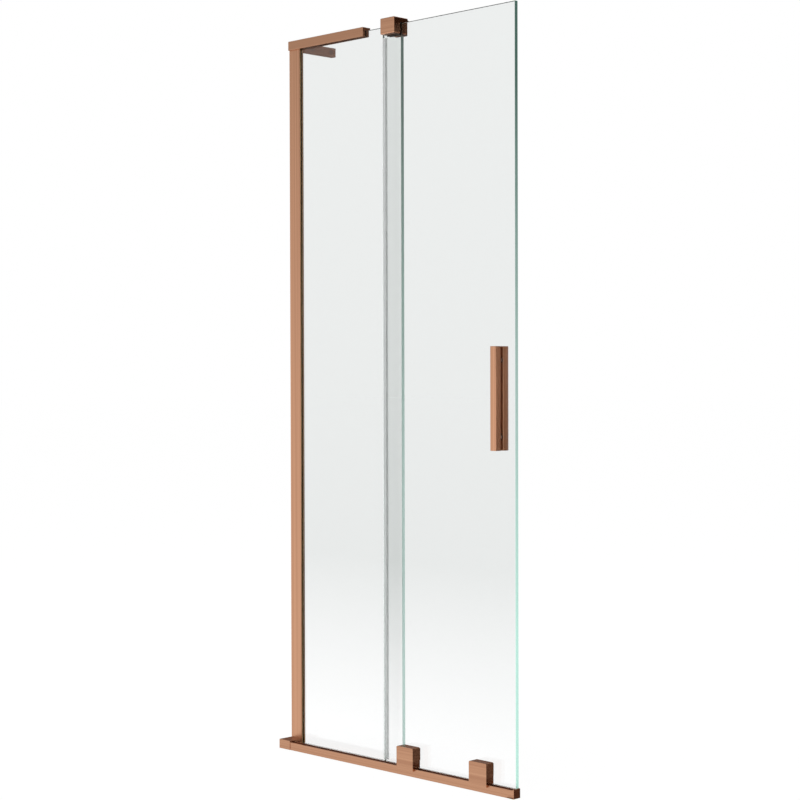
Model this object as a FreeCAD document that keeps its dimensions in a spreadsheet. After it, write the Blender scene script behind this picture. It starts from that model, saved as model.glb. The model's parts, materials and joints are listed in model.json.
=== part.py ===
import FreeCAD, Part
import Sketcher
import os
import re

# Sliding bath screen: a fixed pane held at the wall, and a pane that rolls along a rail on the bath rim.
# Millimetres. X runs out from the wall, the viewer stands on the -Y side, Z is up from the bath rim.
# The origin is on the wall, on the rim and in the middle plane of the fixed glass.

doc = FreeCAD.newDocument("bath_screen")
sheet = doc.addObject("Spreadsheet::Sheet", "sizes")

SIZES = {
    # overall
    "overall_height": 1500, "overall_width": 661,
    # panes
    "glass": 8, "glass_bevel": 0.7, "pane_gap": 12,
    "fixed_setback": 14, "fixed_drop": 7, "pane_overlap": 36,
    "panel_width": 352, "panel_end": 9, "panel_drop": 11, "panel_bottom": 8, "panel_retracted": 50,
    # wall profile
    "profile_width": 32, "profile_wall": 1.6, "profile_web": 2.4, "gasket": 1.6, "gasket_depth": 16,
    "gasket_recess": 0.6, "wall_hole_radius": 2.5, "wall_hole_low": 150, "wall_hole_top": 151,
    # top support and wall arm
    "support_gap": 84, "support_depth": 22, "support_height": 19, "support_round": 0.8,
    "support_end": 13, "support_liner": 1, "liner_recess": 1.5,
    "arm_thick": 12, "arm_reach": 120, "arm_hole_first": 52, "arm_hole_pitch": 54, "arm_hole_radius": 2.75,
    "cap_radius": 5, "cap_depth": 2, "arm_stud_radius": 3, "arm_stud_grip": 12,
    "grub_radius": 2.5, "grub_socket": 1.25, "grub_first": 50, "grub_last": 35,
    # rail
    "rail_height": 16, "rail_depth": 14, "rail_gap": 3, "groove_width": 7, "groove_depth": 4,
    "chamber_width": 8, "chamber_height": 5, "chamber_floor": 3,
    "bracket_length": 33, "bracket_height": 19, "bracket_round": 1, "bracket_proud": 0.8, "spigot_length": 20,
    "bracket_hole_radius": 2.75, "bracket_sink_radius": 5, "bracket_sink_depth": 8, "bracket_hole_inset": 10,
    "end_cap_thick": 3, "end_cap_proud": 2, "end_cap_rear": 5, "end_cap_round": 1.2, "end_plug_length": 15,
    "stop_length": 10, "sill_base": 3, "sill_leg": 2, "sill_height": 9,
    # top guide block
    "guide_length": 39, "guide_height": 32, "guide_cheek": 18, "guide_end": 16, "guide_round": 2,
    "guide_rear_wall": 6, "guide_rear_end": 3,
    "guide_liner": 1.6, "guide_pad": 1, "guide_pad_recess": 2, "liner_drop": 2,
    "guide_grub_inset": 4.5, "guide_grub_pitch": 7,
    # roller carriages
    "housing_size": 45, "housing_inset": 56, "housing_round": 3, "lip_thick": 4, "lip_gap": 0.5,
    "lip_drop": 4, "housing_gasket": 1, "rail_clear": 0.6, "roller_radius": 9, "roller_width": 6,
    "roller_chamfer": 0.6, "bearing_radius": 6, "bearing_groove": 0.8, "axle_radius": 3, "axle_grip": 4,
    "pocket_clear": 2,
    "plate_height": 24, "plate_length": 28, "plate_thick": 4, "clamp_height": 41, "clamp_pitch": 18,
    "clamp_thread": 9,
    "screw_radius": 2.5, "screw_head": 4.6, "screw_head_depth": 2.1, "screw_socket": 1.5, "sleeve_radius": 5,
    # handle
    "handle_length": 197, "handle_middle": 747, "handle_width": 15, "handle_depth": 15, "handle_inset": 35,
    "handle_standoff": 1, "handle_pitch": 145, "handle_round": 1, "handle_stud_radius": 3,
    "handle_stud_grip": 8, "spacer_radius": 7, "handle_sleeve_radius": 6,
    # seals
    "seal_wall": 1, "seal_web": 1.5, "seal_leg": 8, "seal_lean": 10, "seal_foot": 18,
    "drip_leg": 7, "drip_fin": 1.2, "drip_end": 2,
    # clearances
    "running_fit": 0.05, "slide_fit": 0.4, "seat_fit": 0.1, "air": 0.3, "overcut": 1,
}

# Places and sizes that follow from the sheet. Each formula may use sheet names and the names above it.
PLACES = {
    "fixed_face": "glass / 2",
    "panel_back": "-(fixed_face + pane_gap)",
    "panel_front": "panel_back - glass",
    "panel_middle": "panel_back - glass / 2",
    "panel_right": "overall_width - panel_end",
    "panel_left": "panel_right - panel_width",
    "travel": "panel_left - panel_retracted",
    "fixed_right": "panel_left + pane_overlap",
    "panel_top": "overall_height - panel_drop",
    "fixed_top": "overall_height - fixed_drop",
    "profile_half": "fixed_face + gasket + profile_wall",
    "support_half": "support_depth / 2",
    "support_bottom": "overall_height - support_height",
    "support_slot": "fixed_face + support_liner",
    "support_slot_top": "fixed_top + support_liner",
    "support_middle": "support_bottom + support_height / 2",
    "wall_hole_pitch": "(support_bottom - wall_hole_low - wall_hole_top) / 2",
    "rail_back": "panel_front - rail_gap",
    "rail_front": "rail_back - rail_depth",
    "rail_middle": "rail_back - rail_depth / 2",
    "rail_end": "overall_width - end_cap_thick",
    "groove_floor": "rail_height - groove_depth",
    "bracket_hole_y": "-profile_half - bracket_hole_inset",
    "guide_right": "fixed_right + guide_end",
    "guide_left": "guide_right - guide_length",
    "guide_bottom": "overall_height - guide_height",
    "support_length": "guide_left - support_gap",
    "grub_pitch": "(support_length - grub_first - grub_last) / 2",
    "guide_slot_front": "panel_front - slide_fit - guide_liner",
    "guide_slot_back": "panel_back + slide_fit + guide_liner",
    "guide_slot_top": "panel_top + slide_fit + guide_liner",
    "guide_front": "guide_slot_front - guide_cheek",
    "guide_slot_fixed": "fixed_face + guide_pad",
    "guide_back": "guide_slot_fixed + guide_rear_wall",
    "housing_bottom": "rail_height - lip_drop",
    "housing_top": "housing_bottom + housing_size",
    "housing_back": "panel_front - housing_gasket",
    "housing_front": "rail_front - lip_gap - lip_thick",
    "axle_height": "groove_floor + air + roller_radius",
    "pocket_half": "groove_width / 2",
    "plate_front": "panel_back + housing_gasket",
    "plate_back": "plate_front + plate_thick",
    "left_middle": "panel_left + housing_inset + housing_size / 2",
    "right_middle": "panel_right - housing_inset - housing_size / 2",
    "stop_top": "rail_height - seat_fit",
    "stop_reach": "sqrt(roller_radius ^ 2 - (axle_height - stop_top) ^ 2) + air",
    "handle_middle_x": "panel_right - handle_inset - handle_width / 2",
    "handle_face": "panel_front - handle_standoff",
    "handle_rear_face": "panel_back + handle_standoff",
    "seal_top": "guide_bottom - liner_drop - 2 * air",
    "drip_top": "panel_bottom + drip_leg",
}

for row, (word, value) in enumerate(SIZES.items(), start=1):
    sheet.set(f"A{row}", word)
    sheet.set(f"B{row}", str(value))
    sheet.setAlias(f"B{row}", word)
doc.recompute()


def formula(text):
    """Spell a formula out in cells of the sheet."""
    def spell(match):
        word = match.group(0)
        if word in PLACES:
            return f"({formula(PLACES[word])})"
        return f"sizes.{word}" if word in SIZES else word
    return re.sub(r"[a-z_]+", spell, str(text))


def bind(item, **properties):
    for name, text in properties.items():
        item.setExpression(name, formula(text))


def place(item, at):
    for axis, text in zip("xyz", at):
        item.setExpression(f"Placement.Base.{axis}", formula(text))


def sketch_outline(body, role, points):
    """A closed outline of straight sides, each corner held by its two distances from the origin."""
    sketch = body.newObject("Sketcher::SketchObject", "Outline")
    plane = next(f for f in body.Origin.OriginFeatures if f.Role == role)
    sketch.AttachmentSupport = [(plane, "")]
    sketch.MapMode = "FlatFace"
    count = len(points)
    start = [FreeCAD.Vector(float(value_of(x)), float(value_of(y)), 0) for x, y in points]
    for i in range(count):
        sketch.addGeometry(Part.LineSegment(start[i], start[(i + 1) % count]))
    for i in range(count):
        sketch.addConstraint(Sketcher.Constraint("Coincident", i, 2, (i + 1) % count, 1))
    for i, (x, y) in enumerate(points):
        for kind, text, here in (("DistanceX", x, start[i].x), ("DistanceY", y, start[i].y)):
            index = sketch.addConstraint(Sketcher.Constraint(kind, -1, 1, i, 1, here))
            sketch.setExpression(f"Constraints[{index}]", formula(text))
    return sketch


def value_of(text):
    """The present value of a formula, read back from the sheet."""
    return sheet.evalExpression(formula(text).replace("sizes.", ""))


def finish_edges(body, feature, kind, size, chosen):
    """Round or bevel the chosen edges of a feature, all of them when chosen is None."""
    doc.recompute()
    edges = feature.Shape.Edges
    names = [f"Edge{i + 1}" for i, e in enumerate(edges) if chosen is None or chosen(e)]
    work = body.newObject(f"PartDesign::{kind}", kind)
    work.Base = (feature, names)
    bind(work, **{"Radius" if kind == "Fillet" else "Size": size})
    body.Tip = work
    return work


def prism(name, role, points, length, at=("0", "0", "0"), fillet=None, chamfer=None, chosen=None):
    """A padded outline. YZ pads along +X, XY along +Z and XZ along -Y."""
    body = doc.addObject("PartDesign::Body", name)
    pad = body.newObject("PartDesign::Pad", "Pad")
    pad.Profile = sketch_outline(body, f"{role}_Plane", points)
    bind(pad, Length=length)
    body.Tip = pad
    if fillet:
        finish_edges(body, pad, "Fillet", fillet, chosen)
    if chamfer:
        finish_edges(body, pad, "Chamfer", chamfer, chosen)
    place(body, at)
    return body


def turned(name, points, at):
    """A solid of revolution about Y, from an outline of radius and depth."""
    body = doc.addObject("PartDesign::Body", name)
    sketch = sketch_outline(body, "XY_Plane", points)
    work = body.newObject("PartDesign::Revolution", "Revolution")
    work.Profile = sketch
    work.ReferenceAxis = (sketch, ["V_Axis"])
    work.Angle = 360
    body.Tip = work
    place(body, at)
    return body


def box(name, low, high):
    item = doc.addObject("Part::Box", name)
    bind(item, Length=f"({high[0]}) - ({low[0]})", Width=f"({high[1]}) - ({low[1]})",
         Height=f"({high[2]}) - ({low[2]})")
    place(item, low)
    return item


AXES = {"X": (0, 1, 0, 90), "Y": (1, 0, 0, -90), "Z": (0, 0, 1, 0)}


def rod(name, axis, radius, length, at):
    """A cylinder that starts at a point and runs along +X, +Y or +Z."""
    item = doc.addObject("Part::Cylinder", name)
    bind(item, Radius=radius, Height=length)
    x, y, z, turn = AXES[axis]
    item.Placement.Rotation = FreeCAD.Rotation(FreeCAD.Vector(x, y, z), turn)
    place(item, at)
    return item


def cut(name, base, tools):
    item = doc.addObject("Part::Cut", name)
    item.Base = base
    item.Tool = tools[0] if len(tools) == 1 else fuse(f"{name}_tools", tools)
    return item


def fuse(name, pieces):
    item = doc.addObject("Part::MultiFuse", name)
    item.Shapes = pieces
    return item


def group(name, pieces):
    item = doc.addObject("Part::Compound", name)
    item.Links = pieces
    return item


def rectangle(x0, y0, x1, y1):
    return [(x0, y0), (x1, y0), (x1, y1), (x0, y1)]


NODES = []


def node(item, label):
    item.Label = label
    NODES.append(item)
    return item


def grub_screws(name, xs, depth, at_y, at_z):
    """Headless screws with a socket, along Y, flush with the back of what they clamp in."""
    outline = [("grub_socket", f"({depth}) / 2"), ("grub_radius", f"({depth}) / 2"), ("grub_radius", depth),
               ("grub_socket", depth)]
    nose = [("0", "0"), ("grub_radius", "0"), ("grub_radius", f"({depth}) / 2"), ("0", f"({depth}) / 2")]
    screws = []
    for i, x in enumerate(xs):
        ring = turned(f"{name}_ring_{i}", outline, (x, at_y, at_z))
        core = turned(f"{name}_core_{i}", nose, (x, at_y, at_z))
        screws.append(fuse(f"{name}_{i}", [core, ring]))
    return node(group(name, screws), name)


def grub_holes(name, xs, depth, at_y, at_z):
    return [rod(f"{name}_{i}", "Y", "grub_radius + seat_fit", depth, (x, at_y, at_z))
            for i, x in enumerate(xs)]


# Wall profile: a deep channel, open away from the wall, with screw holes in its web
def wall_profile():
    channel = prism("profile_channel", "XY", [
        ("0", "-profile_half"), ("profile_width", "-profile_half"),
        ("profile_width", "-profile_half + profile_wall"), ("profile_web", "-profile_half + profile_wall"),
        ("profile_web", "profile_half - profile_wall"), ("profile_width", "profile_half - profile_wall"),
        ("profile_width", "profile_half"), ("0", "profile_half")], "support_bottom")
    holes = [rod(f"wall_hole_{i}", "X", "wall_hole_radius", "3 * profile_web",
                 ("-profile_web", "0", f"wall_hole_low + {i} * wall_hole_pitch")) for i in range(3)]
    node(cut("profile", channel, holes), "wall_profile")
    for label, side in (("front_gasket", "-1"), ("rear_gasket", "1")):
        inner = f"{side} * fixed_face"
        outer = f"{side} * (fixed_face + gasket)"
        low = f"min({inner}; {outer})"
        strip = box(label, ("profile_width - gasket_depth", low, "sill_base"),
                    ("profile_width - gasket_recess", f"{low} + gasket", "support_bottom"))
        node(strip, label)


# Fixed pane and the clear channel that it stands in
def fixed_pane():
    pane = prism("fixed_pane", "XZ", rectangle("fixed_setback", "sill_base", "fixed_right", "fixed_top"),
                 "glass", ("0", "fixed_face", "0"), chamfer="glass_bevel")
    node(pane, "fixed_glass")
    leg = "fixed_face + sill_leg"
    sill = prism("sill", "YZ", [
        (f"-({leg})", "0"), (leg, "0"), (leg, "sill_height"), ("fixed_face", "sill_height"),
        ("fixed_face", "sill_base"), ("-fixed_face", "sill_base"), ("-fixed_face", "sill_height"),
        (f"-({leg})", "sill_height")], "fixed_right - profile_width", ("profile_width", "0", "0"))
    node(sill, "sill_channel")


# Top support along the fixed pane, its liner and grub screws
def top_support():
    bar = prism("support_body", "XZ", rectangle("0", "support_bottom", "support_length", "overall_height"),
                "support_depth", ("0", "support_half", "0"), fillet="support_round")
    slot = box("support_slot_tool", ("support_end", "-support_slot", "support_bottom - overcut"),
               ("support_length + overcut", "support_slot", "support_slot_top"))
    xs = [f"grub_first + {i} * grub_pitch" for i in range(3)]
    depth = "support_half - support_slot"
    height = "support_bottom + support_height / 3"
    holes = grub_holes("support_grub_hole", xs, f"{depth} + overcut", "support_slot - overcut / 2", height)
    stud_hole = rod("support_stud_hole", "Y", "arm_stud_radius + seat_fit", "arm_stud_grip + overcut",
                    ("arm_thick / 2", "support_half - arm_stud_grip", "support_middle"))
    node(cut("support", bar, [slot, *holes, stud_hole]), "support_bar")
    grub_screws("support_grub_screws", xs, depth, "support_slot", height)
    low = "support_bottom + liner_recess"
    liner = prism("liner", "YZ", [
        ("-support_slot", low), ("-fixed_face", low), ("-fixed_face", "fixed_top"),
        ("fixed_face", "fixed_top"), ("fixed_face", low), ("support_slot", low),
        ("support_slot", "support_slot_top"), ("-support_slot", "support_slot_top")],
        "support_length - support_end - liner_recess",
        ("support_end", "0", "0"))
    node(liner, "support_liner")


# Arm along the wall behind the fixed pane, with caps over its wall screws
def wall_arm():
    arm = prism("arm_body", "YZ", rectangle("support_half", "support_bottom", "arm_reach", "overall_height"),
                "arm_thick", fillet="support_round",
                chosen=lambda e: e.BoundBox.YMin > value_of("support_depth"))
    ys = [f"arm_hole_first + {i} * arm_hole_pitch" for i in range(2)]
    holes = [rod(f"arm_hole_{i}", "X", "arm_hole_radius", "arm_thick + 2 * overcut",
                 ("-overcut", y, "support_middle")) for i, y in enumerate(ys)]
    sinks = [rod(f"arm_sink_{i}", "X", "cap_radius", "cap_depth + overcut",
                 ("arm_thick - cap_depth", y, "support_middle")) for i, y in enumerate(ys)]
    stud_hole = rod("arm_stud_hole", "Y", "arm_stud_radius + seat_fit", "arm_stud_grip + overcut",
                    ("arm_thick / 2", "support_half - overcut", "support_middle"))
    node(cut("arm", arm, [*holes, *sinks, stud_hole]), "wall_arm")
    caps = [rod(f"arm_cap_{i}", "X", "cap_radius - running_fit", "cap_depth",
                ("arm_thick - cap_depth", y, "support_middle")) for i, y in enumerate(ys)]
    node(group("arm_caps", caps), "arm_caps")
    stud = rod("arm_stud", "Y", "arm_stud_radius", "2 * arm_stud_grip",
               ("arm_thick / 2", "support_half - arm_stud_grip", "support_middle"))
    node(stud, "arm_stud")


# Rail on the bath rim: an extrusion with a roller groove and a hollow chamber
def rail():
    half_groove = "groove_width / 2"
    outer = prism("rail_body", "YZ", [
        ("rail_front", "0"), ("rail_back", "0"), ("rail_back", "rail_height"),
        (f"rail_middle + {half_groove}", "rail_height"), (f"rail_middle + {half_groove}", "groove_floor"),
        (f"rail_middle - {half_groove}", "groove_floor"), (f"rail_middle - {half_groove}", "rail_height"),
        ("rail_front", "rail_height")], "rail_end - bracket_length", ("bracket_length", "0", "0"))
    chamber = chamber_box("rail_chamber", "bracket_length - overcut", "rail_end + overcut", "0")
    node(cut("rail_cut", outer, [chamber]), "rail")
    stops = []
    faces = ["left_middle - travel - stop_reach - stop_length", "right_middle + stop_reach"]
    for i, face in enumerate(faces):
        stops.append(box(f"travel_stop_{i}",
                         (face, f"rail_middle - {half_groove} + seat_fit", "groove_floor"),
                         (f"{face} + stop_length", f"rail_middle + {half_groove} - seat_fit", "stop_top")))
    node(group("stops", stops), "travel_stops")


def chamber_box(name, x0, x1, inset):
    """The rail's hollow, or with an inset the plug that fits in it."""
    half = "chamber_width / 2"
    return box(name, (x0, f"rail_middle - {half} + {inset}", f"chamber_floor + {inset}"),
               (x1, f"rail_middle + {half} - {inset}", f"chamber_floor + chamber_height - {inset}"))


# Corner block at the wall that the rail plugs on to
def rail_bracket():
    block = prism("bracket_block", "XZ", rectangle("0", "0", "bracket_length", "bracket_height"),
                  "bracket_proud - profile_half - rail_front", ("0", "-profile_half", "0"),
                  fillet="bracket_round",
                  chosen=lambda e: e.BoundBox.XMin > 1 and e.BoundBox.ZMin > 1)
    spigot = chamber_box("bracket_spigot", "bracket_length - overcut",
                         "bracket_length + spigot_length", "seat_fit")
    whole = fuse("bracket_whole", [block, spigot])
    hole = rod("bracket_hole", "X", "bracket_hole_radius", "bracket_length + 2 * overcut",
               ("-overcut", "bracket_hole_y", "bracket_height / 2"))
    sink = rod("bracket_sink", "X", "bracket_sink_radius", "bracket_sink_depth + overcut",
               ("bracket_length - bracket_sink_depth", "bracket_hole_y", "bracket_height / 2"))
    node(cut("bracket", whole, [hole, sink]), "rail_bracket")


# End cap of the rail, a touch proud of its top and reaching back toward the rolling pane
def rail_end_cap():
    plate = prism("end_plate", "YZ", rectangle("rail_front - air", "0", "rail_back + end_cap_rear",
                                               "rail_height + end_cap_proud"),
                  "end_cap_thick", ("rail_end", "0", "0"), fillet="end_cap_round",
                  chosen=lambda e: e.BoundBox.XMax > value_of("end_cap_thick") - 0.1 and e.BoundBox.ZMax > 1)
    plug = chamber_box("end_plug", "rail_end - end_plug_length", "rail_end + overcut", "seat_fit")
    node(fuse("end_cap", [plate, plug]), "rail_end_cap")


# Guide block clamped on the fixed pane's corner: the rolling pane runs through its lined front slot
def guide_block():
    block = prism("guide_body", "XZ",
                  rectangle("guide_left", "guide_bottom", "guide_right", "overall_height"),
                  "guide_back - guide_front", ("0", "guide_back", "0"), fillet="guide_round")
    run = box("guide_run", ("guide_left - overcut", "guide_slot_front", "guide_bottom - overcut"),
              ("guide_right + overcut", "guide_slot_back", "guide_slot_top"))
    seat = box("guide_seat", ("guide_left - overcut", "-guide_slot_fixed", "guide_bottom - overcut"),
               ("fixed_right + air", "guide_slot_fixed", "fixed_top + air"))
    xs = [f"guide_left + guide_grub_inset + {i} * guide_grub_pitch" for i in range(2)]
    depth = "guide_back - guide_slot_fixed"
    height = "guide_bottom + guide_height / 3"
    holes = grub_holes("guide_grub_hole", xs, f"{depth} + overcut", "guide_slot_fixed - overcut / 2", height)
    corner = box("guide_corner",
                 ("fixed_right + guide_rear_end", "-guide_slot_fixed", "guide_bottom - overcut"),
                 ("guide_right + overcut", "guide_back + overcut", "overall_height + overcut"))
    node(cut("guide", block, [run, seat, corner, *holes]), "guide_block")
    grub_screws("guide_grub_screws", xs, depth, "guide_slot_fixed", height)
    pads = [box(f"guide_pad_{i}", ("guide_left + guide_pad_recess", low, "guide_bottom + guide_pad_recess"),
                ("fixed_right - guide_pad_recess", f"{low} + guide_pad", "fixed_top - guide_pad_recess"))
            for i, low in enumerate(("-guide_slot_fixed", "fixed_face"))]
    node(group("guide_pads", pads), "guide_pads")
    foot = "guide_bottom - liner_drop"
    front = "panel_front - slide_fit"
    back = "panel_back + slide_fit"
    liner = prism("guide_liner_body", "YZ", [
        ("guide_slot_front", foot), (front, foot), (front, "panel_top + slide_fit"),
        (back, "panel_top + slide_fit"), (back, foot), ("guide_slot_back", foot),
        ("guide_slot_back", "guide_slot_top"), ("guide_slot_front", "guide_slot_top")],
        "guide_length - 2 * guide_round", ("guide_left + guide_round", "0", "0"))
    node(liner, "guide_liner")


# Rolling pane, drilled for its carriages and its handle
def sliding_pane():
    pane = prism("panel_pane", "XZ", rectangle("panel_left", "panel_bottom", "panel_right", "panel_top"),
                 "glass", ("0", "panel_back", "0"), chamfer="glass_bevel")
    holes = [rod(f"clamp_glass_hole_{i}", "Y", "sleeve_radius", "glass + 2 * overcut",
                 (x, "panel_front - overcut", "clamp_height")) for i, x in enumerate(clamp_places())]
    holes += [rod(f"handle_glass_hole_{i}", "Y", "handle_sleeve_radius", "glass + 2 * overcut",
                  ("handle_middle_x", "panel_front - overcut", z)) for i, z in enumerate(handle_heights())]
    node(cut("panel", pane, holes), "sliding_glass")


def clamp_places():
    return [f"{middle} {side} clamp_pitch / 2" for middle in ("left_middle", "right_middle") for side in "-+"]


def handle_heights():
    return [f"handle_middle {side} handle_pitch / 2" for side in "-+"]


# Clear seals on the rolling pane: a clip with a leaning fin on its left edge, a drip strip below
def panel_seals():
    left = "panel_left - seal_web"
    front = "panel_front - seal_wall"
    back = "panel_back + seal_wall"
    reach = "-fixed_face - 2 * air"
    clip = prism("edge_clip", "XY", [
        (left, front), ("panel_left + seal_leg", front), ("panel_left + seal_leg", "panel_front"),
        ("panel_left", "panel_front"), ("panel_left", "panel_back"), ("panel_left + seal_leg", "panel_back"),
        ("panel_left + seal_leg", back), ("panel_left", back),
        ("panel_left - seal_lean", reach), (f"{left} - seal_lean", reach), (left, back)],
        "seal_top - seal_foot", ("0", "0", "seal_foot"))
    node(clip, "edge_seal")
    base = "panel_bottom - seal_web"
    strip = prism("drip_strip", "YZ", [
        (front, base), ("panel_middle - drip_fin / 2", base), ("panel_middle - drip_fin / 2", "seal_wall"),
        ("panel_middle + drip_fin / 2", "seal_wall"), ("panel_middle + drip_fin / 2", base), (back, base),
        (back, "drip_top"), ("panel_back", "drip_top"), ("panel_back", "panel_bottom"),
        ("panel_front", "panel_bottom"), ("panel_front", "drip_top"), (front, "drip_top")],
        "panel_width - 2 * drip_end", ("panel_left + drip_end", "0", "0"))
    node(strip, "drip_seal")


# Roller carriage: housing in front of the pane, clamp plate behind it, roller on a bearing and axle
def carriage(side):
    middle = f"{side}_middle"
    left = f"{middle} - housing_size / 2"
    right = f"{middle} + housing_size / 2"
    block = prism(f"{side}_block", "XZ", rectangle(left, "housing_bottom", right, "housing_top"),
                  "housing_back - housing_front", ("0", "housing_back", "0"), fillet="housing_round",
                  chosen=lambda e: e.BoundBox.YLength > 1 and e.BoundBox.ZMin > value_of("rail_height"))
    under = box(f"{side}_under", (f"{left} - overcut", "rail_front - lip_gap", "housing_bottom - overcut"),
                (f"{right} + overcut", "housing_back + overcut", "rail_height + rail_clear"))
    pocket = box(f"{side}_pocket", (f"{middle} - roller_radius - pocket_clear", "rail_middle - pocket_half",
                                    "housing_bottom"),
                 (f"{middle} + roller_radius + pocket_clear", "rail_middle + pocket_half",
                  "axle_height + roller_radius + pocket_clear"))
    axle_start = "rail_middle - pocket_half - axle_grip"
    axle_hole = rod(f"{side}_axle_hole", "Y", "axle_radius", f"housing_back - ({axle_start}) + overcut",
                    (middle, axle_start, "axle_height"))
    threads = [rod(f"{side}_thread_{i}", "Y", "screw_radius + seat_fit", "clamp_thread + overcut",
                   (f"{middle} {sign} clamp_pitch / 2", "housing_back - clamp_thread", "clamp_height"))
               for i, sign in enumerate("-+")]
    node(cut(f"{side}_housing_cut", block, [under, pocket, axle_hole, *threads]), f"{side}_housing")
    axle = rod(f"{side}_axle_rod", "Y", "axle_radius - running_fit", f"housing_back - ({axle_start}) - air",
               (middle, axle_start, "axle_height"))
    node(axle, f"{side}_axle")
    width = "roller_width / 2"
    tyre = turned(f"{side}_tyre", [
        ("bearing_radius", f"-{width}"), ("roller_radius - roller_chamfer", f"-{width}"),
        ("roller_radius", f"-{width} + roller_chamfer"), ("roller_radius", f"{width} - roller_chamfer"),
        ("roller_radius - roller_chamfer", width), ("bearing_radius", width)],
        (middle, "rail_middle", "axle_height"))
    node(tyre, f"{side}_roller")
    node(bearing(side, middle), f"{side}_bearing")
    plate = prism(f"{side}_plate_body", "XZ", rectangle(
        f"{middle} - plate_length / 2", "clamp_height - plate_height / 2",
        f"{middle} + plate_length / 2", "clamp_height + plate_height / 2"),
                  "plate_thick", ("0", "plate_back", "0"), fillet="support_round",
                  chosen=lambda e: e.BoundBox.YMax < 0.1 - value_of("plate_thick") or e.BoundBox.YMax > -0.1)
    screws = [rod(f"{side}_plate_hole_{i}", "Y", "screw_radius + seat_fit", "plate_thick + 2 * overcut",
                  (f"{middle} {sign} clamp_pitch / 2", "plate_front - overcut", "clamp_height"))
              for i, sign in enumerate("-+")]
    sinks = [rod(f"{side}_plate_sink_{i}", "Y", "screw_head + seat_fit", "screw_head_depth + overcut",
                 (f"{middle} {sign} clamp_pitch / 2", "plate_back - screw_head_depth", "clamp_height"))
             for i, sign in enumerate("-+")]
    node(cut(f"{side}_plate_cut", plate, [*screws, *sinks]), f"{side}_clamp_plate")


def bearing(side, middle):
    """Inner and outer ring with a groove between them on both faces, as a shielded bearing shows."""
    half = "groove_width / 2 - air"
    rim = "(bearing_radius + axle_radius) / 2"
    return turned(f"{side}_bearing_rings", [
        ("axle_radius", f"-({half})"), (f"{rim} - bearing_groove", f"-({half})"),
        (f"{rim} - bearing_groove", f"-({half}) + bearing_groove"),
        (f"{rim} + bearing_groove", f"-({half}) + bearing_groove"), (f"{rim} + bearing_groove", f"-({half})"),
        ("bearing_radius", f"-({half})"), ("bearing_radius", half), (f"{rim} + bearing_groove", half),
        (f"{rim} + bearing_groove", f"{half} - bearing_groove"),
        (f"{rim} - bearing_groove", f"{half} - bearing_groove"), (f"{rim} - bearing_groove", half),
        ("axle_radius", half)], (middle, "rail_middle", "axle_height"))


# Soft sheets, sleeves and screws that clamp the carriages on the pane
def carriage_fixings():
    faces = {"housing_gaskets": ("housing_back", "panel_front"),
             "plate_gaskets": ("panel_back", "plate_front")}
    for label, (low, high) in faces.items():
        sheets = []
        for middle in ("left_middle", "right_middle"):
            plain = box(f"{label}_{middle}", (f"{middle} - plate_length / 2 + seal_wall", low,
                                              "clamp_height - plate_height / 2 + seal_wall"),
                        (f"{middle} + plate_length / 2 - seal_wall", high,
                         "clamp_height + plate_height / 2 - seal_wall"))
            holes = [rod(f"{label}_{middle}_{i}", "Y", "sleeve_radius", "glass",
                         (f"{middle} {sign} clamp_pitch / 2", f"{low} - overcut", "clamp_height"))
                     for i, sign in enumerate("-+")]
            sheets.append(cut(f"{label}_{middle}_cut", plain, holes))
        node(group(label, sheets), label)
    sleeves = []
    screws = []
    length = "plate_back - housing_back + clamp_thread - air"
    neck = f"{length} - screw_head_depth"
    for i, x in enumerate(clamp_places()):
        sleeves.append(turned(f"clamp_sleeve_{i}", rectangle(
            "screw_radius + seat_fit", "housing_back", "sleeve_radius - running_fit", "plate_front"),
            (x, "0", "clamp_height")))
        screws.append(turned(f"clamp_screw_{i}", [
            ("0", "0"), ("screw_radius", "0"), ("screw_radius", neck), ("screw_head", neck),
            ("screw_head", length), ("screw_socket", length), ("screw_socket", neck), ("0", neck)],
            (x, f"plate_back - ({length})", "clamp_height")))
    node(group("clamp_sleeves", sleeves), "clamp_sleeves")
    node(group("clamp_screws", screws), "clamp_screws")


# Handle: a bar on each face of the rolling pane, drawn together by studs through it
def handle():
    left = "handle_middle_x - handle_width / 2"
    right = "handle_middle_x + handle_width / 2"
    low = "handle_middle - handle_length / 2"
    high = "handle_middle + handle_length / 2"
    grips = {"front_handle": ("handle_face", "handle_face - handle_stud_grip"),
             "rear_handle": ("handle_rear_face + handle_depth", "handle_rear_face - overcut")}
    for label, (back, hole_start) in grips.items():
        grip = prism(f"{label}_bar", "XZ", rectangle(left, low, right, high), "handle_depth",
                     ("0", back, "0"), fillet="handle_round")
        holes = [rod(f"{label}_hole_{i}", "Y", "handle_stud_radius + seat_fit", "handle_stud_grip + overcut",
                     ("handle_middle_x", hole_start, z)) for i, z in enumerate(handle_heights())]
        node(cut(f"{label}_cut", grip, holes), label)
    spacers = []
    studs = []
    sleeves = []
    for i, z in enumerate(handle_heights()):
        for side, start in (("front", "handle_face"), ("rear", "panel_back")):
            spacers.append(turned(f"{side}_spacer_{i}", rectangle(
                "handle_stud_radius + seat_fit", "0", "spacer_radius", "handle_standoff"),
                ("handle_middle_x", start, z)))
        studs.append(rod(f"handle_stud_{i}", "Y", "handle_stud_radius",
                         "handle_rear_face - handle_face + 2 * handle_stud_grip - 2 * air",
                         ("handle_middle_x", "handle_face - handle_stud_grip + air", z)))
        sleeves.append(turned(f"handle_sleeve_{i}", rectangle(
            "handle_stud_radius + seat_fit", "0", "handle_sleeve_radius - running_fit", "glass"),
            ("handle_middle_x", "panel_front", z)))
    node(group("handle_spacer_group", spacers), "handle_spacers")
    node(group("handle_stud_group", studs), "handle_studs")
    node(group("handle_sleeve_group", sleeves), "handle_sleeves")


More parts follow.
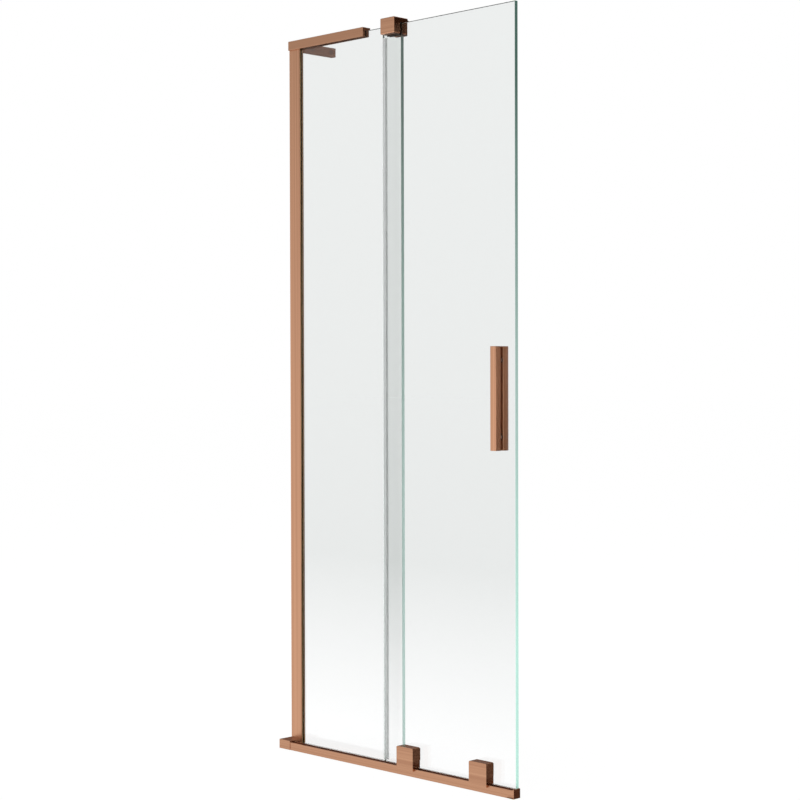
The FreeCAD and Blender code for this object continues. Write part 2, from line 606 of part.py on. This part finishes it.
wall_profile()
fixed_pane()
top_support()
wall_arm()
rail()
rail_bracket()
rail_end_cap()
guide_block()
sliding_pane()
panel_seals()
carriage("left")
carriage("right")
carriage_fixings()
handle()

doc.recompute()
for item in doc.Objects:
    if "Invalid" in item.State or "Error" in item.State:
        raise RuntimeError(f"{item.Name} failed: {item.State}")
for item in NODES:
    if item.Shape.isNull() or not item.Shape.isValid() or not item.Shape.Solids:
        raise RuntimeError(f"{item.Label} has no valid solid")

os.makedirs("parts", exist_ok=True)
for item in NODES:
    item.Shape.exportStep(f"parts/{item.Label}.step")
    bounds = item.Shape.BoundBox
    print(f"{item.Label:22s} solids {len(item.Shape.Solids)} volume {item.Shape.Volume:10.0f}",
          f"X {bounds.XMin:.1f} {bounds.XMax:.1f} Y {bounds.YMin:.1f} {bounds.YMax:.1f}",
          f"Z {bounds.ZMin:.1f} {bounds.ZMax:.1f}")
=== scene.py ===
"""Sliding bath screen: finishes, panes, handle bars, screws, studio and camera round the frame. Metres."""
import json
import math

import bmesh
import bpy
from mathutils import Matrix, Vector


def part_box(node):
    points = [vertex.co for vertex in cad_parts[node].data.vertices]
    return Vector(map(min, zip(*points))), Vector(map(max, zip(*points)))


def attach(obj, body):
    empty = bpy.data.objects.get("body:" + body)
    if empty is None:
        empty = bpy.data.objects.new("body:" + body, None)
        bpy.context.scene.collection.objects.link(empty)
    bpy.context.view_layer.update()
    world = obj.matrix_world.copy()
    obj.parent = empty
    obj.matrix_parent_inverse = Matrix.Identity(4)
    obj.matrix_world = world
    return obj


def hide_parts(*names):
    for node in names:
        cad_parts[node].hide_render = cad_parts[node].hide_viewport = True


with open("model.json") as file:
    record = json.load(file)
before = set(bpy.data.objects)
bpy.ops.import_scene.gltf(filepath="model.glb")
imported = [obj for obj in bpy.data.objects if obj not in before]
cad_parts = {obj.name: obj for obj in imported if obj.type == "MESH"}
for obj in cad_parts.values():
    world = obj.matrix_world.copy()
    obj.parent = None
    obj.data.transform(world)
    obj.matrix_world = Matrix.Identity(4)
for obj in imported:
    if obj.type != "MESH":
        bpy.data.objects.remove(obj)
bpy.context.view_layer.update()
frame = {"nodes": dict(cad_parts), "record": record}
nodes = frame["nodes"]

SCREEN_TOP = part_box("support_bar")[1].z
SCREEN_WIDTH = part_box("rail_end_cap")[1].x

# Finishes, as linear colours. Those of the glass have stops, from 0 at the bath rim to 1 at the top
COPPER = (0.60, 0.325, 0.197)
COPPER_SHADE = (0.465, 0.233, 0.139)
# Glass tint: partly its own faint grey-green, partly painted light and shade by height, near white at the rim
# and darkest about a quarter of the way up.
GLASS_TINT_AND_PAINTED_SHADE = {0.05: (0.995, 1.0, 1.0), 0.28: (0.80, 0.818, 0.811), 1.0: (0.874, 0.892, 0.885)}
# Green glass edges: the green is their own, their brightness is painted light and shade by height, light low
# down and dark high up. The inner edge is painted brighter than the free one.
FREE_EDGE_PAINTED_LIGHT = {0.2: (0.55, 0.90, 0.79), 0.46: (0.42, 0.60, 0.55), 0.9: (0.07, 0.14, 0.115)}
INNER_EDGE_PAINTED_LIGHT = {0.35: (0.72, 1.0, 0.92), 0.6: (0.40, 0.62, 0.55), 0.92: (0.09, 0.165, 0.135)}
SEAL_PALE = (0.93, 0.95, 0.95)
SEAL_DARK = (0.85, 0.87, 0.87)
SEAL_CLEAR = 0.62
GASKET = (0.16, 0.12, 0.095)
GLAZING = (0.56, 0.38, 0.17)
NYLON = (0.78, 0.78, 0.74)
STEEL = (0.55, 0.56, 0.57)
DARK_PLASTIC = (0.02, 0.017, 0.014)
FLOOR_PALE = (0.85, 0.85, 0.85)

# Grain, by how fine it is: along and across the brush lines, and for the rest along X, Y and Z
FINE_BRUSHING = (2.0, 900.0)
BROAD_BRUSHING = (0.7, 260.0)
GLASS_FILM = (6.0, 6.0, 3.0)
GROUND_EDGE = (500.0, 500.0, 60.0)
DIE_MOTTLE = (160.0, 160.0, 40.0)
TURNING_MARKS = (700.0, 2500.0, 700.0)
GRAIN_ENDS = (0.3, 0.7)
GRAIN_DEPTH = 0.0002
TURNING_DEPTH = 0.0001
ROUGH_SPREAD = 0.08
GLASS_INDEX = 1.5

# Light of the surround on matt surfaces, and in metal that looks past the free end, level past it, back over
# the wall, down there, up, or out past the front corner
DIFFUSE_LEVEL = 0.92
SIDE_LEVEL = 0.035
HORIZON_LEVEL = 0.65
BACK_LEVEL = 0.36
UNDER_LEVEL = 0.12
HIGH_LEVEL = 0.55
FRONT_LEVEL = 4.0
FREE_END = Vector((1, 1, 0)).normalized()
WALL_BACK = Vector((-1, 1, 0)).normalized()
FRONT_CORNER = Vector((1, -1, -0.45)).normalized()
WARM_SHADE = (1.0, 0.5, 0.3)
WHITE = (1.0, 1.0, 1.0)
UP = (0, 0, 1)
WIDE_SECTOR = (0.6, 0.84)
NARROW_SECTOR = (0.88, 0.99)
HORIZON_BAND = (0.04, 0.13)
HIGH_BAND = (-0.02, 0.25)

# Floor, with its level in metal past the free end and the share of its own glow that the camera sees
FLOOR_LEVEL = 1.015
FLOOR_SHADE = 0.09
FLOOR_GLOW = 0.94
FLOOR_ROUGH = 0.8
FLOOR_SIDE = 80.0
FLOOR_DROP = 0.0005
RAIL_END = (SCREEN_WIDTH - 0.02, -0.05, 0)

# Soft lamps, by place and power
LAMPS = {"front_lamp": ((-1.6, -3.2, 2.6), 55), "top_lamp": ((0.8, -0.6, 3.6), 35)}
LAMP_SIZE = 2.5

# Camera, with its lens and sensor in millimetres and its angles in degrees
CAMERA_PLACE = (2.8557, -2.5329, 0.79385)
CAMERA_TURN = 45
CAMERA_DOWN = 0.84
CAMERA_ROLL = -0.14
CAMERA_LENS = 80.29
CAMERA_SENSOR = 36.0
CAMERA_REACH = 100.0

# Mesh forms. A screw's bevel and socket depth are shares of its own sizes, FACE_ON and SQUARE_ON of a normal
SCREW_SIDES = 36
SCREW_BEVEL = 0.12
SOCKET_DEPTH = 0.75
EDGE_DEPTH = 0.0012
FACE_ON = 0.95
SQUARE_ON = 0.999
GRIP_ROUND = 0.0018
GRIP_STEPS = 8
GRIP_END_ROUND = 0.0008
GRIP_END_STEPS = 4
MERGE = 1e-6
SCREW_MERGE = 1e-7


def material(name):
    """A new material, its tree and its shader."""
    new = bpy.data.materials.new(name)
    new.use_nodes = True
    return new, new.node_tree, new.node_tree.nodes["Principled BSDF"]


def add(tree, kind, **inputs):
    """Add a node. Each input is a value or the socket that feeds it, with _ for a space in its name."""
    made = tree.nodes.new(kind)
    for name, value in inputs.items():
        feed(tree, made.inputs[name.replace("_", " ")], value)
    return made


def feed(tree, socket, value):
    """Link a socket, or set its value."""
    if isinstance(value, bpy.types.NodeSocket):
        tree.links.new(value, socket)
    else:
        socket.default_value = value


def math_node(tree, operation, *values):
    """The result of a sum or comparison of values."""
    made = tree.nodes.new("ShaderNodeMath")
    made.operation = operation
    for socket, value in zip(made.inputs, values):
        feed(tree, socket, value)
    return made.outputs[0]


def vector_node(tree, operation, *values):
    """The result of a sum on vectors."""
    made = tree.nodes.new("ShaderNodeVectorMath")
    made.operation = operation
    for socket, value in zip(made.inputs, values):
        feed(tree, socket, value)
    return made.outputs["Value" if operation == "DOT_PRODUCT" else "Vector"]


def span(tree, value, ends, levels=(0.0, 1.0)):
    """A value brought from its own two ends to two levels, and held there."""
    made = add(tree, "ShaderNodeMapRange", Value=value, From_Min=ends[0], From_Max=ends[1], To_Min=levels[0],
               To_Max=levels[1])
    return made.outputs["Result"]


def level(tree, value, low, high):
    """A value from 0 to 1 brought between two levels."""
    return span(tree, value, (0.0, 1.0), (low, high))


def mix_levels(tree, share, first, second):
    """A level between two, by a share from 0 to 1."""
    mix = tree.nodes.new("ShaderNodeMix")
    for number, value in ((0, share), (2, first), (3, second)):
        feed(tree, mix.inputs[number], value)
    return mix.outputs[0]


def ramp(tree, value, ends, dark, light):
    """A colour between two, as a value goes from one end to the other."""
    mix = tree.nodes.new("ShaderNodeMix")
    mix.data_type = "RGBA"
    colours = [s for s in mix.inputs if s.type == "RGBA"]
    feed(tree, mix.inputs[0], span(tree, value, ends))
    feed(tree, colours[0], (*dark, 1))
    feed(tree, colours[1], (*light, 1))
    return next(s for s in mix.outputs if s.type == "RGBA")


def bands(tree, value, stops):
    """A colour that runs through the given stops, as a value goes from 0 to 1."""
    made = add(tree, "ShaderNodeValToRGB", Fac=value)
    points = made.color_ramp.elements
    for _ in range(len(stops) - len(points)):
        points.new(1.0)
    for point, (position, colour) in zip(points, stops.items()):
        point.position = position
        point.color = (*colour, 1)
    return made.outputs["Color"]


def grain(tree, scale, detail=4.0):
    """Noise on the piece's own coordinates, stretched by the scale along each axis."""
    coordinates = add(tree, "ShaderNodeTexCoord")
    mapping = add(tree, "ShaderNodeMapping", Vector=coordinates.outputs["Object"], Scale=scale)
    noise = add(tree, "ShaderNodeTexNoise", Vector=mapping.outputs["Vector"], Scale=1.0, Detail=detail)
    return noise.outputs["Fac"]


def bump(tree, shader, height, strength, distance):
    """Relief on a finish."""
    made = add(tree, "ShaderNodeBump", Height=height, Strength=strength, Distance=distance)
    tree.links.new(made.outputs["Normal"], shader.inputs["Normal"])


def height_share(tree):
    """0 at the bath rim and 1 at the top of the screen."""
    coordinates = add(tree, "ShaderNodeTexCoord")
    axes = add(tree, "ShaderNodeSeparateXYZ", Vector=coordinates.outputs["Object"])
    return span(tree, axes.outputs["Z"], (0.0, SCREEN_TOP))


def shade(colour, share):
    """A colour made darker, or brighter by a share over 1."""
    return tuple(share * part for part in colour)


def brushed_copper(name, along, smooth, rough, painted_light_gain=1.0):
    """Copper-coloured metal with brush lines that run the named ways. The gain sets how bright, as painted
    light and shade for how light falls on the part.
    """
    new, tree, shader = material(name)
    fine = [FINE_BRUSHING[0] if axis in along else FINE_BRUSHING[1] for axis in "XYZ"]
    broad = [BROAD_BRUSHING[0] if axis in along else BROAD_BRUSHING[1] for axis in "XYZ"]
    lines = grain(tree, fine, detail=6.0)
    clouds = grain(tree, broad, detail=2.0)
    # Painted light and shade: the gain makes both ends of the grain brighter or darker for this part.
    colour = ramp(tree, clouds, GRAIN_ENDS, shade(COPPER_SHADE, painted_light_gain), shade(COPPER, painted_light_gain))
    feed(tree, shader.inputs["Base Color"], colour)
    feed(tree, shader.inputs["Roughness"], level(tree, lines, smooth, rough))
    shader.inputs["Metallic"].default_value = 1.0
    bump(tree, shader, lines, strength=0.12, distance=GRAIN_DEPTH)
    return new


def clear_glass():
    """Clear toughened glass with a faint film in its roughness. Its tint changes with height as painted light
    and shade.
    """
    new, tree, shader = material("clear_glass")
    feed(tree, shader.inputs["Base Color"], bands(tree, height_share(tree), GLASS_TINT_AND_PAINTED_SHADE))
    feed(tree, shader.inputs["Roughness"], level(tree, grain(tree, GLASS_FILM), low=0.0, high=0.006))
    shader.inputs["Transmission Weight"].default_value = 1.0
    shader.inputs["IOR"].default_value = GLASS_INDEX
    return new


def green_edge(name, stops):
    """Ground edge of the glass, where the iron in it shows green. Its brightness by height is painted light
    and shade, light low down and dark high up.
    """
    new, tree, shader = material(name)
    feed(tree, shader.inputs["Base Color"], bands(tree, height_share(tree), stops))
    feed(tree, shader.inputs["Roughness"], level(tree, grain(tree, GROUND_EDGE), low=0.12, high=0.3))
    return new


def soft_plastic(name, dark, light, rough, clear=0.0):
    """Moulded or extruded plastic and rubber, with the faint mottle of the die."""
    new, tree, shader = material(name)
    mottle = grain(tree, DIE_MOTTLE)
    feed(tree, shader.inputs["Base Color"], ramp(tree, mottle, GRAIN_ENDS, dark, light))
    feed(tree, shader.inputs["Roughness"], level(tree, mottle, rough - ROUGH_SPREAD, rough + ROUGH_SPREAD))
    shader.inputs["Alpha"].default_value = 1.0 - clear
    bump(tree, shader, mottle, strength=0.1, distance=GRAIN_DEPTH)
    return new


def turned_steel():
    """Stainless steel with fine turning marks."""
    new, tree, shader = material("turned_steel")
    marks = grain(tree, TURNING_MARKS, detail=5.0)
    feed(tree, shader.inputs["Base Color"], ramp(tree, marks, GRAIN_ENDS, shade(STEEL, 0.8), STEEL))
    feed(tree, shader.inputs["Roughness"], level(tree, marks, low=0.22, high=0.4))
    shader.inputs["Metallic"].default_value = 1.0
    bump(tree, shader, marks, strength=0.1, distance=TURNING_DEPTH)
    return new


# Painted light and shade: these are copies of one copper, each made brighter or darker by its gain for how
# light falls on that part.
COPPER_LEVEL = brushed_copper("copper_brushed_level", "XY", smooth=0.24, rough=0.42)
COPPER_UPRIGHT = brushed_copper("copper_brushed_upright", "Z", smooth=0.24, rough=0.42, painted_light_gain=1.14)
COPPER_GRIP = brushed_copper("copper_satin_grip", "Z", smooth=0.22, rough=0.36, painted_light_gain=1.28)
COPPER_ARM = brushed_copper("copper_satin_arm", "Y", smooth=0.5, rough=0.66, painted_light_gain=1.2)
COPPER_BLOCK = brushed_copper("copper_brushed_block", "XY", smooth=0.1, rough=0.18, painted_light_gain=1.2)
COPPER_CARRIAGE = brushed_copper("copper_brushed_carriage", "XY", smooth=0.1, rough=0.18, painted_light_gain=0.96)
GLASS_FACE = clear_glass()
TURNED_STEEL = turned_steel()
BROWN_GLAZING = soft_plastic("brown_glazing", shade(GLAZING, 0.8), GLAZING, rough=0.55)
FINISHES = {
    "copper": COPPER_LEVEL,
    "clear_seal": soft_plastic("clear_seal", SEAL_DARK, SEAL_PALE, rough=0.3, clear=SEAL_CLEAR),
    "gasket": soft_plastic("brown_gasket", shade(GASKET, 0.8), GASKET, rough=0.55),
    "nylon": soft_plastic("white_nylon", shade(NYLON, 0.9), NYLON, rough=0.45),
    "steel": TURNED_STEEL,
    "dark_stop": soft_plastic("dark_plastic", shade(DARK_PLASTIC, 0.6), DARK_PLASTIC, rough=0.5),
}
OWN_FINISH = {"wall_profile": COPPER_UPRIGHT, "wall_arm": COPPER_ARM, "front_gasket": BROWN_GLAZING,
              "rear_gasket": BROWN_GLAZING, "guide_block": COPPER_BLOCK,
              "left_housing": COPPER_CARRIAGE, "right_housing": COPPER_CARRIAGE}


def dress_nodes():
    """Give each CAD node its own finish or that of its record slot. The panes bring theirs."""
    for entry in frame["record"]["subparts"]:
        finish = OWN_FINISH.get(entry["node"]) or FINISHES.get(entry["material_slot"])
        if finish:
            materials = nodes[entry["node"]].data.materials
            materials.clear()
            materials.append(finish)


def show(name, mesh):
    """An object for a mesh, in the scene."""
    made = bpy.data.objects.new(name, mesh)
    bpy.context.scene.collection.objects.link(made)
    return made


def mesh_of(work, name):
    """A mesh from finished mesh work."""
    mesh = bpy.data.meshes.new(name)
    work.to_mesh(mesh)
    work.free()
    return mesh


def put(name, mesh, body, node):
    """A piece in place of a CAD node."""
    piece = show(name, mesh)
    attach(piece, body)
    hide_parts(node)


def merged(node):
    """Mesh work on a copy of a CAD node, with its triangles joined."""
    work = bmesh.new()
    work.from_mesh(nodes[node].data)
    bmesh.ops.remove_doubles(work, verts=work.verts, dist=MERGE)
    return work


def glass_pane(node, body, edge):
    """A pane in its CAD node's form, with clear faces, holes and top, and green ground sides and foot."""
    work = merged(node)
    low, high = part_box(node)
    for face in work.faces:
        middle = face.calc_center_median()
        on_side = min(middle.x - low.x, high.x - middle.x) < EDGE_DEPTH
        on_foot = middle.z - low.z < EDGE_DEPTH
        is_edge = abs(face.normal.y) < FACE_ON and (on_side or on_foot)
        face.material_index = 1 if is_edge else 0
        face.smooth = False
    mesh = mesh_of(work, f"{node}_pane")
    mesh.materials.append(GLASS_FACE)
    mesh.materials.append(edge)
    put(f"{node}_pane", mesh, body, node)


def round_edges(work, edges, radius, steps):
    """Round some edges off."""
    bmesh.ops.bevel(work, geom=edges, offset=radius, segments=steps, profile=0.5, affect="EDGES")
    work.normal_update()


def grip_bar(node):
    """A handle bar with softly rounded edges, in the box of its CAD node."""
    low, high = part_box(node)
    work = bmesh.new()
    place = Matrix.Translation((low + high) / 2) @ Matrix.Diagonal((*(high - low), 1))
    bmesh.ops.create_cube(work, size=1.0, matrix=place)
    upright = [e for e in work.edges if abs(e.verts[0].co.z - e.verts[1].co.z) > GRIP_ROUND]
    round_edges(work, upright, GRIP_ROUND, GRIP_STEPS)
    rims = [e for e in work.edges if sum(abs(f.normal.z) > FACE_ON for f in e.link_faces) == 1]
    round_edges(work, rims, GRIP_END_ROUND, GRIP_END_STEPS)
    for face in work.faces:
        face.smooth = max(abs(part) for part in face.normal) < SQUARE_ON
    mesh = mesh_of(work, f"{node}_bar")
    mesh.materials.append(COPPER_GRIP)
    put(f"{node}_bar", mesh, "panel", node)


def screw_ring(work, size, y, six_sided=False):
    """A ring of points about Y, round or six-sided."""
    corners = []
    for i in range(SCREW_SIDES):
        angle = 2 * math.pi * i / SCREW_SIDES
        across = math.pi / 6 - angle % (math.pi / 3)
        reach = size * math.cos(math.pi / 6) / math.cos(across) if six_sided else size
        corners.append(work.verts.new((reach * math.cos(angle), y, reach * math.sin(angle))))
    return corners


def hex_screw(name, radius, head, length, head_depth, socket):
    """A screw along Y from its nose at 0 to its head, with a six-sided socket, as rings joined by faces."""
    bevel = SCREW_BEVEL * radius
    neck = length - head_depth
    socket_floor = length - SOCKET_DEPTH * max(head_depth, radius)
    work = bmesh.new()
    outline = ((radius - bevel, 0), (radius, bevel), (radius, neck), (head, neck), (head, length - bevel),
               (head - bevel, length))
    rings = [screw_ring(work, size, y) for size, y in outline]
    rings += [screw_ring(work, socket, y, six_sided=True) for y in (length, socket_floor)]
    for low, high in zip(rings, rings[1:]):
        for i in range(SCREW_SIDES):
            j = (i + 1) % SCREW_SIDES
            work.faces.new((low[i], low[j], high[j], high[i]))
    work.faces.new(rings[0])
    work.faces.new(rings[-1])
    bmesh.ops.remove_doubles(work, verts=work.verts, dist=SCREW_MERGE)
    bmesh.ops.recalc_face_normals(work, faces=work.faces)
    return show(name, mesh_of(work, name))


def screw_tree(finish):
    """Sets a screw on each point, turned at random about its own length."""
    tree = bpy.data.node_groups.new("screw_set", "GeometryNodeTree")
    face = tree.interface
    face.new_socket("Points", in_out="INPUT", socket_type="NodeSocketGeometry")
    face.new_socket("Screw", in_out="INPUT", socket_type="NodeSocketObject")
    face.new_socket("Seed", in_out="INPUT", socket_type="NodeSocketInt")
    face.new_socket("Screws", in_out="OUTPUT", socket_type="NodeSocketGeometry")
    entry = tree.nodes.new("NodeGroupInput").outputs
    screw = add(tree, "GeometryNodeObjectInfo", Object=entry["Screw"])
    turn = tree.nodes.new("FunctionNodeRandomValue")
    turn.data_type = "FLOAT"
    floats = [s for s in turn.inputs if s.type == "VALUE"]
    feed(tree, floats[1], math.pi / 3)
    feed(tree, turn.inputs["Seed"], entry["Seed"])
    angle = add(tree, "ShaderNodeCombineXYZ", Y=next(s for s in turn.outputs if s.type == "VALUE"))
    spin = add(tree, "FunctionNodeEulerToRotation", Euler=angle.outputs["Vector"])
    placed = add(tree, "GeometryNodeInstanceOnPoints", Points=entry["Points"],
                 Instance=screw.outputs["Geometry"], Rotation=spin.outputs["Rotation"])
    real = add(tree, "GeometryNodeRealizeInstances", Geometry=placed.outputs["Instances"])
    dressed = add(tree, "GeometryNodeSetMaterial", Geometry=real.outputs["Geometry"], Material=finish)
    leave = tree.nodes.new("NodeGroupOutput")
    tree.links.new(dressed.outputs["Geometry"], leave.inputs["Screws"])
    return tree


def solid_boxes(node):
    """The lowest and highest corner of each solid in a CAD node."""
    work = merged(node)
    boxes = []
    left = set(work.verts)
    while left:
        island = {left.pop()}
        reached = list(island)
        while reached:
            for edge in reached.pop().link_edges:
                for vert in edge.verts:
                    if vert in left:
                        left.discard(vert)
                        island.add(vert)
                        reached.append(vert)
        places = [v.co for v in island]
        boxes.append((Vector(map(min, zip(*places))), Vector(map(max, zip(*places)))))
    work.free()
    return sorted(boxes, key=lambda b: tuple(b[0]))


def screws(node, body, tree, seed, shank, head_depth, socket):
    """Replaces a node's plain screws with ones that have six-sided sockets, in the same places.

    The shank and the socket are shares of the head's radius, and the head's depth is one of the whole length.
    """
    boxes = solid_boxes(node)
    low, high = boxes[0]
    head = (high.x - low.x) / 2
    length = high.y - low.y
    model = hex_screw(f"{node}_model", head * shank, head, length, length * head_depth, head * socket)
    points = bpy.data.meshes.new(f"{node}_places")
    points.from_pydata([((a.x + b.x) / 2, a.y, (a.z + b.z) / 2) for a, b in boxes], [], [])
    holder = show(f"{node}_places", points)
    modifier = holder.modifiers.new("screw_set", "NODES")
    modifier.node_group = tree
    sockets = {s.name: s.identifier for s in tree.interface.items_tree if s.in_out == "INPUT"}
    modifier[sockets["Screw"]] = model
    modifier[sockets["Seed"]] = seed
    mesh = bpy.data.meshes.new_from_object(holder.evaluated_get(bpy.context.evaluated_depsgraph_get()))
    bpy.data.objects.remove(holder)
    bpy.data.objects.remove(model)
    put(f"{node}_hex", mesh, body, node)


def off_metal(tree):
    """1 for rays that a shiny surface has turned, also after they pass through glass."""
    depth = add(tree, "ShaderNodeLightPath").outputs["Glossy Depth"]
    return math_node(tree, "GREATER_THAN", depth, 0.5)


def seen_directly(tree):
    """1 for rays from the camera, off shiny metal or through glass."""
    path = add(tree, "ShaderNodeLightPath").outputs
    either = math_node(tree, "MAXIMUM", path["Is Camera Ray"], path["Is Glossy Ray"])
    return math_node(tree, "MAXIMUM", either, path["Is Transmission Ray"])


def sector_level(tree, ray, toward, strength, sector=WIDE_SECTOR):
    """1 all round, and the given strength where a ray goes the given way."""
    return span(tree, vector_node(tree, "DOT_PRODUCT", ray, toward), sector, (1.0, strength))


def surround():
    """White all round.

    In metal it is dimmer and warmer past the free end and over the wall, dimmer high up, and brighter past
    the front corner.
    """
    world = bpy.data.worlds.new("studio")
    bpy.context.scene.world = world
    world.use_nodes = True
    tree = world.node_tree
    ray = add(tree, "ShaderNodeTexCoord").outputs["Generated"]
    up = vector_node(tree, "DOT_PRODUCT", ray, UP)
    past_end = span(tree, math_node(tree, "ABSOLUTE", up), HORIZON_BAND, (HORIZON_LEVEL, SIDE_LEVEL))
    free_side = sector_level(tree, ray, FREE_END, past_end)
    wall_side = sector_level(tree, ray, WALL_BACK, BACK_LEVEL)
    front_side = sector_level(tree, ray, FRONT_CORNER, FRONT_LEVEL, NARROW_SECTOR)
    reflected = span(tree, up, HIGH_BAND, (1.0, HIGH_LEVEL))
    for side in (free_side, wall_side, front_side):
        reflected = math_node(tree, "MULTIPLY", reflected, side)
    shown = level(tree, seen_directly(tree), DIFFUSE_LEVEL, 1.0)
    lit = math_node(tree, "MINIMUM", free_side, wall_side)
    unshaded = math_node(tree, "MAXIMUM", lit, math_node(tree, "SUBTRACT", 1.0, off_metal(tree)))
    background = tree.nodes["Background"]
    feed(tree, background.inputs["Color"], ramp(tree, unshaded, (0.0, 1.0), WARM_SHADE, WHITE))
    feed(tree, background.inputs["Strength"], mix_levels(tree, off_metal(tree), shown, reflected))


def floor():
    """Pale floor that looks white and keeps a faint shadow.

    In metal it is dimmer and warmer past the free end and over the wall.
    """
    finish, tree, shader = material("pale_floor")
    shader.inputs["Base Color"].default_value = (*FLOOR_PALE, 1)
    shader.inputs["Roughness"].default_value = FLOOR_ROUGH
    place = add(tree, "ShaderNodeTexCoord").outputs["Object"]
    middle = (SCREEN_WIDTH / 2, 0, 0)
    dimmest = 1.0
    for centre, toward, strength in ((middle, FREE_END, FLOOR_SHADE), (RAIL_END, FREE_END, FLOOR_SHADE),
                                     (middle, WALL_BACK, UNDER_LEVEL)):
        outward = vector_node(tree, "NORMALIZE", vector_node(tree, "SUBTRACT", place, centre))
        dimmest = math_node(tree, "MINIMUM", dimmest, sector_level(tree, outward, toward, strength))
    strength = mix_levels(tree, off_metal(tree), FLOOR_LEVEL, dimmest)
    unshaded = math_node(tree, "MAXIMUM", dimmest, math_node(tree, "SUBTRACT", 1.0, off_metal(tree)))
    colour = ramp(tree, unshaded, (0.0, 1.0), WARM_SHADE, WHITE)
    glow = add(tree, "ShaderNodeEmission", Color=colour, Strength=strength)
    mix = tree.nodes.new("ShaderNodeMixShader")
    share = math_node(tree, "MAXIMUM", level(tree, seen_directly(tree), 0.0, FLOOR_GLOW), off_metal(tree))
    sources = (share, shader.outputs[0], glow.outputs[0])
    for socket, source in zip(mix.inputs, sources):
        tree.links.new(source, socket)
    tree.links.new(mix.outputs[0], tree.nodes["Material Output"].inputs["Surface"])
    half = FLOOR_SIDE / 2
    work = bmesh.new()
    corners = ((-half, -half), (half, -half), (half, half), (-half, half))
    work.faces.new([work.verts.new((x, y, -FLOOR_DROP)) for x, y in corners])
    mesh = mesh_of(work, "floor")
    mesh.materials.append(finish)
    show("floor", mesh)


def lamp(name, place, power):
    """A soft lamp turned to the middle of the screen. Neither metal nor glass shows it."""
    light = bpy.data.lights.new(name, "AREA")
    light.size = LAMP_SIZE
    light.energy = power
    made = show(name, light)
    made.location = place
    made.visible_glossy = False
    made.visible_transmission = False
    aim = Vector((SCREEN_WIDTH / 2, 0, SCREEN_TOP / 2)) - Vector(place)
    made.rotation_euler = aim.to_track_quat("-Z", "Y").to_euler()


def camera():
    """The photograph's viewpoint: 45 degrees round from the front, a little above the middle."""
    lens = bpy.data.cameras.new("camera")
    lens.lens = CAMERA_LENS
    lens.sensor_width = CAMERA_SENSOR
    lens.clip_end = CAMERA_REACH
    turn, down, roll = (math.radians(angle) for angle in (CAMERA_TURN, CAMERA_DOWN, CAMERA_ROLL))
    forward = Vector((-math.sin(turn) * math.cos(down), math.cos(turn) * math.cos(down), -math.sin(down)))
    pose = forward.to_track_quat("-Z", "Y").to_matrix().to_4x4() @ Matrix.Rotation(roll, 4, "Z")
    made = show("camera", lens)
    made.matrix_world = Matrix.Translation(CAMERA_PLACE) @ pose
    bpy.context.scene.camera = made


dress_nodes()
glass_pane("fixed_glass", "frame", green_edge("glass_edge_inner", INNER_EDGE_PAINTED_LIGHT))
glass_pane("sliding_glass", "panel", green_edge("glass_edge_free", FREE_EDGE_PAINTED_LIGHT))
grip_bar("front_handle")
grip_bar("rear_handle")
screw_set = screw_tree(TURNED_STEEL)
screws("clamp_screws", "panel", screw_set, seed=3, shank=0.54, head_depth=0.09, socket=0.5)
screws("support_grub_screws", "frame", screw_set, seed=5, shank=1.0, head_depth=0.5, socket=0.5)
screws("guide_grub_screws", "frame", screw_set, seed=8, shank=1.0, head_depth=0.5, socket=0.5)
surround()
floor()
for lamp_name, (lamp_place, lamp_power) in LAMPS.items():
    lamp(lamp_name, lamp_place, lamp_power)
camera()
bpy.context.scene.view_settings.view_transform = "Standard"
